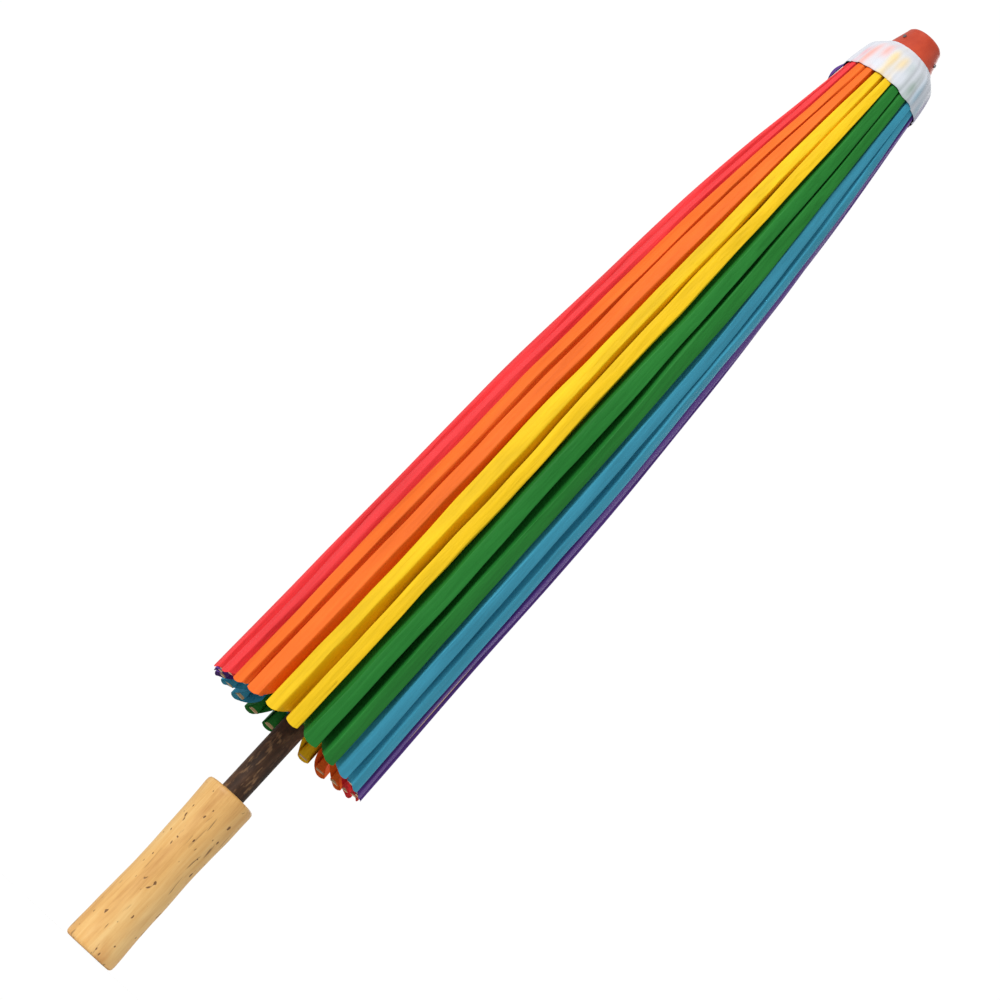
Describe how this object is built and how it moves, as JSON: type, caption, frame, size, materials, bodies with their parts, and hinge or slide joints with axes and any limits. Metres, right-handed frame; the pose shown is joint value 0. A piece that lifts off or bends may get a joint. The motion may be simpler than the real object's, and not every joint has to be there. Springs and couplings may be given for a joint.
{
  "type": "folding parasol",
  "caption": "Closed folding parasol with a pleated rainbow skin over hinged bamboo ribs, struts and a sliding runner on a wooden shaft with a grip.",
  "frame": {"origin": "centre of the handle's end face, on the shaft's axis", "axes": "+Z along the shaft from the handle to the cap; -Y towards the side that is pictured, with the first rib 2.5 degrees to its left; +X to its right"},
  "size_m": [0.0862, 0.0862, 0.56],
  "materials": {
    "rib_bamboo": "split bamboo, satin",
    "strut_bamboo": "split bamboo, satin",
    "handle_wood": "turned light wood, satin varnish",
    "shaft_wood": "dark mottled bamboo, satin",
    "cap_red": "brick red satin lacquer on wood",
    "runner_wood": "turned wood, matt",
    "nail_steel": "small dull steel nails",
    "catch_steel": "bent spring steel",
    "thread": "waxed thread",
    "canopy_cloth": "thin dyed cloth in six rainbow colours, two ribs to each colour, twice round",
    "collar_cloth": "thin white translucent cloth"
  },
  "bodies": {
    "handle": {"handle": "handle_wood", "shaft": "shaft_wood", "hub": "cap_red", "hub_pins": "nail_steel", "hub_lacing": "thread", "stop_pin": "nail_steel", "canopy": "canopy_cloth", "collar": "collar_cloth"},
    "rib_01": {"rib_01": "rib_bamboo"},
    "strut_01": {"strut_01": "strut_bamboo"},
    "rib_02": {"rib_02": "rib_bamboo"},
    "strut_02": {"strut_02": "strut_bamboo"},
    "rib_03": {"rib_03": "rib_bamboo"},
    "strut_03": {"strut_03": "strut_bamboo"},
    "rib_04": {"rib_04": "rib_bamboo"},
    "strut_04": {"strut_04": "strut_bamboo"},
    "rib_05": {"rib_05": "rib_bamboo"},
    "strut_05": {"strut_05": "strut_bamboo"},
    "rib_06": {"rib_06": "rib_bamboo"},
    "strut_06": {"strut_06": "strut_bamboo"},
    "rib_07": {"rib_07": "rib_bamboo"},
    "strut_07": {"strut_07": "strut_bamboo"},
    "rib_08": {"rib_08": "rib_bamboo"},
    "strut_08": {"strut_08": "strut_bamboo"},
    "rib_09": {"rib_09": "rib_bamboo"},
    "strut_09": {"strut_09": "strut_bamboo"},
    "rib_10": {"rib_10": "rib_bamboo"},
    "strut_10": {"strut_10": "strut_bamboo"},
    "rib_11": {"rib_11": "rib_bamboo"},
    "strut_11": {"strut_11": "strut_bamboo"},
    "rib_12": {"rib_12": "rib_bamboo"},
    "strut_12": {"strut_12": "strut_bamboo"},
    "rib_13": {"rib_13": "rib_bamboo"},
    "strut_13": {"strut_13": "strut_bamboo"},
    "rib_14": {"rib_14": "rib_bamboo"},
    "strut_14": {"strut_14": "strut_bamboo"},
    "rib_15": {"rib_15": "rib_bamboo"},
    "strut_15": {"strut_15": "strut_bamboo"},
    "rib_16": {"rib_16": "rib_bamboo"},
    "strut_16": {"strut_16": "strut_bamboo"},
    "rib_17": {"rib_17": "rib_bamboo"},
    "strut_17": {"strut_17": "strut_bamboo"},
    "rib_18": {"rib_18": "rib_bamboo"},
    "strut_18": {"strut_18": "strut_bamboo"},
    "rib_19": {"rib_19": "rib_bamboo"},
    "strut_19": {"strut_19": "strut_bamboo"},
    "rib_20": {"rib_20": "rib_bamboo"},
    "strut_20": {"strut_20": "strut_bamboo"},
    "rib_21": {"rib_21": "rib_bamboo"},
    "strut_21": {"strut_21": "strut_bamboo"},
    "rib_22": {"rib_22": "rib_bamboo"},
    "strut_22": {"strut_22": "strut_bamboo"},
    "rib_23": {"rib_23": "rib_bamboo"},
    "strut_23": {"strut_23": "strut_bamboo"},
    "rib_24": {"rib_24": "rib_bamboo"},
    "strut_24": {"strut_24": "strut_bamboo"},
    "runner": {"runner": "runner_wood", "runner_lacing": "thread"},
    "catch": {"catch": "catch_steel"}
  },
  "joints": [
    {"name": "canopy_fold", "type": "hinge", "parent": "handle", "child": "rib_01", "pos_m": [-0.00061, -0.01399, 0.538], "axis": [-0.999, 0.0436, 0], "range_deg": [0, 64], "deforming": ["canopy", "collar", "catch"]},
    {"name": "strut_01_fold", "type": "hinge", "parent": "rib_01", "child": "strut_01", "pos_m": [-0.00128, -0.02927, 0.35363], "axis": [-0.999, 0.0436, 0], "range_deg": [-128, 0]},
    {"name": "rib_02_fold", "type": "hinge", "parent": "handle", "child": "rib_02", "pos_m": [0.00303, -0.01367, 0.538], "axis": [-0.9763, -0.2164, 0], "range_deg": [0, 64]},
    {"name": "strut_02_fold", "type": "hinge", "parent": "rib_02", "child": "strut_02", "pos_m": [0.00634, -0.02861, 0.35363], "axis": [-0.9763, -0.2164, 0], "range_deg": [-128, 0]},
    {"name": "rib_03_fold", "type": "hinge", "parent": "handle", "child": "rib_03", "pos_m": [0.00646, -0.01242, 0.538], "axis": [-0.887, -0.4617, 0], "range_deg": [0, 64]},
    {"name": "strut_03_fold", "type": "hinge", "parent": "rib_03", "child": "strut_03", "pos_m": [0.01353, -0.02599, 0.35363], "axis": [-0.887, -0.4617, 0], "range_deg": [-128, 0]},
    {"name": "rib_04_fold", "type": "hinge", "parent": "handle", "child": "rib_04", "pos_m": [0.00946, -0.01032, 0.538], "axis": [-0.7373, -0.6756, 0], "range_deg": [0, 64]},
    {"name": "strut_04_fold", "type": "hinge", "parent": "rib_04", "child": "strut_04", "pos_m": [0.01979, -0.0216, 0.35363], "axis": [-0.7373, -0.6756, 0], "range_deg": [-128, 0]},
    {"name": "rib_05_fold", "type": "hinge", "parent": "handle", "child": "rib_05", "pos_m": [0.01181, -0.00752, 0.538], "axis": [-0.5373, -0.8434, 0], "range_deg": [0, 64]},
    {"name": "strut_05_fold", "type": "hinge", "parent": "rib_05", "child": "strut_05", "pos_m": [0.02471, -0.01574, 0.35363], "axis": [-0.5373, -0.8434, 0], "range_deg": [-128, 0]},
    {"name": "rib_06_fold", "type": "hinge", "parent": "handle", "child": "rib_06", "pos_m": [0.01335, -0.00421, 0.538], "axis": [-0.3007, -0.9537, 0], "range_deg": [0, 64]},
    {"name": "strut_06_fold", "type": "hinge", "parent": "rib_06", "child": "strut_06", "pos_m": [0.02794, -0.00881, 0.35363], "axis": [-0.3007, -0.9537, 0], "range_deg": [-128, 0]},
    {"name": "rib_07_fold", "type": "hinge", "parent": "handle", "child": "rib_07", "pos_m": [0.01399, -0.00061, 0.538], "axis": [-0.0436, -0.999, 0], "range_deg": [0, 64]},
    {"name": "strut_07_fold", "type": "hinge", "parent": "rib_07", "child": "strut_07", "pos_m": [0.02927, -0.00128, 0.35363], "axis": [-0.0436, -0.999, 0], "range_deg": [-128, 0]},
    {"name": "rib_08_fold", "type": "hinge", "parent": "handle", "child": "rib_08", "pos_m": [0.01367, 0.00303, 0.538], "axis": [0.2164, -0.9763, 0], "range_deg": [0, 64]},
    {"name": "strut_08_fold", "type": "hinge", "parent": "rib_08", "child": "strut_08", "pos_m": [0.02861, 0.00634, 0.35363], "axis": [0.2164, -0.9763, 0], "range_deg": [-128, 0]},
    {"name": "rib_09_fold", "type": "hinge", "parent": "handle", "child": "rib_09", "pos_m": [0.01242, 0.00646, 0.538], "axis": [0.4617, -0.887, 0], "range_deg": [0, 64]},
    {"name": "strut_09_fold", "type": "hinge", "parent": "rib_09", "child": "strut_09", "pos_m": [0.02599, 0.01353, 0.35363], "axis": [0.4617, -0.887, 0], "range_deg": [-128, 0]},
    {"name": "rib_10_fold", "type": "hinge", "parent": "handle", "child": "rib_10", "pos_m": [0.01032, 0.00946, 0.538], "axis": [0.6756, -0.7373, 0], "range_deg": [0, 64]},
    {"name": "strut_10_fold", "type": "hinge", "parent": "rib_10", "child": "strut_10", "pos_m": [0.0216, 0.01979, 0.35363], "axis": [0.6756, -0.7373, 0], "range_deg": [-128, 0]},
    {"name": "rib_11_fold", "type": "hinge", "parent": "handle", "child": "rib_11", "pos_m": [0.00752, 0.01181, 0.538], "axis": [0.8434, -0.5373, 0], "range_deg": [0, 64]},
    {"name": "strut_11_fold", "type": "hinge", "parent": "rib_11", "child": "strut_11", "pos_m": [0.01574, 0.02471, 0.35363], "axis": [0.8434, -0.5373, 0], "range_deg": [-128, 0]},
    {"name": "rib_12_fold", "type": "hinge", "parent": "handle", "child": "rib_12", "pos_m": [0.00421, 0.01335, 0.538], "axis": [0.9537, -0.3007, 0], "range_deg": [0, 64]},
    {"name": "strut_12_fold", "type": "hinge", "parent": "rib_12", "child": "strut_12", "pos_m": [0.00881, 0.02794, 0.35363], "axis": [0.9537, -0.3007, 0], "range_deg": [-128, 0]},
    {"name": "rib_13_fold", "type": "hinge", "parent": "handle", "child": "rib_13", "pos_m": [0.00061, 0.01399, 0.538], "axis": [0.999, -0.0436, 0], "range_deg": [0, 64]},
    {"name": "strut_13_fold", "type": "hinge", "parent": "rib_13", "child": "strut_13", "pos_m": [0.00128, 0.02927, 0.35363], "axis": [0.999, -0.0436, 0], "range_deg": [-128, 0]},
    {"name": "rib_14_fold", "type": "hinge", "parent": "handle", "child": "rib_14", "pos_m": [-0.00303, 0.01367, 0.538], "axis": [0.9763, 0.2164, 0], "range_deg": [0, 64]},
    {"name": "strut_14_fold", "type": "hinge", "parent": "rib_14", "child": "strut_14", "pos_m": [-0.00634, 0.02861, 0.35363], "axis": [0.9763, 0.2164, 0], "range_deg": [-128, 0]},
    {"name": "rib_15_fold", "type": "hinge", "parent": "handle", "child": "rib_15", "pos_m": [-0.00646, 0.01242, 0.538], "axis": [0.887, 0.4617, 0], "range_deg": [0, 64]},
    {"name": "strut_15_fold", "type": "hinge", "parent": "rib_15", "child": "strut_15", "pos_m": [-0.01353, 0.02599, 0.35363], "axis": [0.887, 0.4617, 0], "range_deg": [-128, 0]},
    {"name": "rib_16_fold", "type": "hinge", "parent": "handle", "child": "rib_16", "pos_m": [-0.00946, 0.01032, 0.538], "axis": [0.7373, 0.6756, 0], "range_deg": [0, 64]},
    {"name": "strut_16_fold", "type": "hinge", "parent": "rib_16", "child": "strut_16", "pos_m": [-0.01979, 0.0216, 0.35363], "axis": [0.7373, 0.6756, 0], "range_deg": [-128, 0]},
    {"name": "rib_17_fold", "type": "hinge", "parent": "handle", "child": "rib_17", "pos_m": [-0.01181, 0.00752, 0.538], "axis": [0.5373, 0.8434, 0], "range_deg": [0, 64]},
    {"name": "strut_17_fold", "type": "hinge", "parent": "rib_17", "child": "strut_17", "pos_m": [-0.02471, 0.01574, 0.35363], "axis": [0.5373, 0.8434, 0], "range_deg": [-128, 0]},
    {"name": "rib_18_fold", "type": "hinge", "parent": "handle", "child": "rib_18", "pos_m": [-0.01335, 0.00421, 0.538], "axis": [0.3007, 0.9537, 0], "range_deg": [0, 64]},
    {"name": "strut_18_fold", "type": "hinge", "parent": "rib_18", "child": "strut_18", "pos_m": [-0.02794, 0.00881, 0.35363], "axis": [0.3007, 0.9537, 0], "range_deg": [-128, 0]},
    {"name": "rib_19_fold", "type": "hinge", "parent": "handle", "child": "rib_19", "pos_m": [-0.01399, 0.00061, 0.538], "axis": [0.0436, 0.999, 0], "range_deg": [0, 64]},
    {"name": "strut_19_fold", "type": "hinge", "parent": "rib_19", "child": "strut_19", "pos_m": [-0.02927, 0.00128, 0.35363], "axis": [0.0436, 0.999, 0], "range_deg": [-128, 0]},
    {"name": "rib_20_fold", "type": "hinge", "parent": "handle", "child": "rib_20", "pos_m": [-0.01367, -0.00303, 0.538], "axis": [-0.2164, 0.9763, 0], "range_deg": [0, 64]},
    {"name": "strut_20_fold", "type": "hinge", "parent": "rib_20", "child": "strut_20", "pos_m": [-0.02861, -0.00634, 0.35363], "axis": [-0.2164, 0.9763, 0], "range_deg": [-128, 0]},
    {"name": "rib_21_fold", "type": "hinge", "parent": "handle", "child": "rib_21", "pos_m": [-0.01242, -0.00646, 0.538], "axis": [-0.4617, 0.887, 0], "range_deg": [0, 64]},
    {"name": "strut_21_fold", "type": "hinge", "parent": "rib_21", "child": "strut_21", "pos_m": [-0.02599, -0.01353, 0.35363], "axis": [-0.4617, 0.887, 0], "range_deg": [-128, 0]},
    {"name": "rib_22_fold", "type": "hinge", "parent": "handle", "child": "rib_22", "pos_m": [-0.01032, -0.00946, 0.538], "axis": [-0.6756, 0.7373, 0], "range_deg": [0, 64]},
    {"name": "strut_22_fold", "type": "hinge", "parent": "rib_22", "child": "strut_22", "pos_m": [-0.0216, -0.01979, 0.35363], "axis": [-0.6756, 0.7373, 0], "range_deg": [-128, 0]},
    {"name": "rib_23_fold", "type": "hinge", "parent": "handle", "child": "rib_23", "pos_m": [-0.00752, -0.01181, 0.538], "axis": [-0.8434, 0.5373, 0], "range_deg": [0, 64]},
    {"name": "strut_23_fold", "type": "hinge", "parent": "rib_23", "child": "strut_23", "pos_m": [-0.01574, -0.02471, 0.35363], "axis": [-0.8434, 0.5373, 0], "range_deg": [-128, 0]},
    {"name": "rib_24_fold", "type": "hinge", "parent": "handle", "child": "rib_24", "pos_m": [-0.00421, -0.01335, 0.538], "axis": [-0.9537, 0.3007, 0], "range_deg": [0, 64]},
    {"name": "strut_24_fold", "type": "hinge", "parent": "rib_24", "child": "strut_24", "pos_m": [-0.00881, -0.02794, 0.35363], "axis": [-0.9537, 0.3007, 0], "range_deg": [-128, 0]},
    {"name": "runner_slide", "type": "hinge", "parent": "strut_01", "child": "runner", "pos_m": [-0.00061, -0.01399, 0.16927], "axis": [-0.999, 0.0436, 0], "range_deg": [0, 64]},
    {"name": "catch_press", "type": "slide", "parent": "handle", "child": "catch", "axis": [-1, 0, 0], "range_m": [0, 0.0022], "stiffness_N_per_m": 400}
  ],
  "couplings": [
    {"joint": "strut_01_fold", "follows": "canopy_fold", "ratio": -2},
    {"joint": "rib_02_fold", "follows": "canopy_fold", "ratio": 1},
    {"joint": "strut_02_fold", "follows": "canopy_fold", "ratio": -2},
    {"joint": "rib_03_fold", "follows": "canopy_fold", "ratio": 1},
    {"joint": "strut_03_fold", "follows": "canopy_fold", "ratio": -2},
    {"joint": "rib_04_fold", "follows": "canopy_fold", "ratio": 1},
    {"joint": "strut_04_fold", "follows": "canopy_fold", "ratio": -2},
    {"joint": "rib_05_fold", "follows": "canopy_fold", "ratio": 1},
    {"joint": "strut_05_fold", "follows": "canopy_fold", "ratio": -2},
    {"joint": "rib_06_fold", "follows": "canopy_fold", "ratio": 1},
    {"joint": "strut_06_fold", "follows": "canopy_fold", "ratio": -2},
    {"joint": "rib_07_fold", "follows": "canopy_fold", "ratio": 1},
    {"joint": "strut_07_fold", "follows": "canopy_fold", "ratio": -2},
    {"joint": "rib_08_fold", "follows": "canopy_fold", "ratio": 1},
    {"joint": "strut_08_fold", "follows": "canopy_fold", "ratio": -2},
    {"joint": "rib_09_fold", "follows": "canopy_fold", "ratio": 1},
    {"joint": "strut_09_fold", "follows": "canopy_fold", "ratio": -2},
    {"joint": "rib_10_fold", "follows": "canopy_fold", "ratio": 1},
    {"joint": "strut_10_fold", "follows": "canopy_fold", "ratio": -2},
    {"joint": "rib_11_fold", "follows": "canopy_fold", "ratio": 1},
    {"joint": "strut_11_fold", "follows": "canopy_fold", "ratio": -2},
    {"joint": "rib_12_fold", "follows": "canopy_fold", "ratio": 1},
    {"joint": "strut_12_fold", "follows": "canopy_fold", "ratio": -2},
    {"joint": "rib_13_fold", "follows": "canopy_fold", "ratio": 1},
    {"joint": "strut_13_fold", "follows": "canopy_fold", "ratio": -2},
    {"joint": "rib_14_fold", "follows": "canopy_fold", "ratio": 1},
    {"joint": "strut_14_fold", "follows": "canopy_fold", "ratio": -2},
    {"joint": "rib_15_fold", "follows": "canopy_fold", "ratio": 1},
    {"joint": "strut_15_fold", "follows": "canopy_fold", "ratio": -2},
    {"joint": "rib_16_fold", "follows": "canopy_fold", "ratio": 1},
    {"joint": "strut_16_fold", "follows": "canopy_fold", "ratio": -2},
    {"joint": "rib_17_fold", "follows": "canopy_fold", "ratio": 1},
    {"joint": "strut_17_fold", "follows": "canopy_fold", "ratio": -2},
    {"joint": "rib_18_fold", "follows": "canopy_fold", "ratio": 1},
    {"joint": "strut_18_fold", "follows": "canopy_fold", "ratio": -2},
    {"joint": "rib_19_fold", "follows": "canopy_fold", "ratio": 1},
    {"joint": "strut_19_fold", "follows": "canopy_fold", "ratio": -2},
    {"joint": "rib_20_fold", "follows": "canopy_fold", "ratio": 1},
    {"joint": "strut_20_fold", "follows": "canopy_fold", "ratio": -2},
    {"joint": "rib_21_fold", "follows": "canopy_fold", "ratio": 1},
    {"joint": "strut_21_fold", "follows": "canopy_fold", "ratio": -2},
    {"joint": "rib_22_fold", "follows": "canopy_fold", "ratio": 1},
    {"joint": "strut_22_fold", "follows": "canopy_fold", "ratio": -2},
    {"joint": "rib_23_fold", "follows": "canopy_fold", "ratio": 1},
    {"joint": "strut_23_fold", "follows": "canopy_fold", "ratio": -2},
    {"joint": "rib_24_fold", "follows": "canopy_fold", "ratio": 1},
    {"joint": "strut_24_fold", "follows": "canopy_fold", "ratio": -2},
    {"joint": "runner_slide", "follows": "canopy_fold", "ratio": 1}
  ]
}
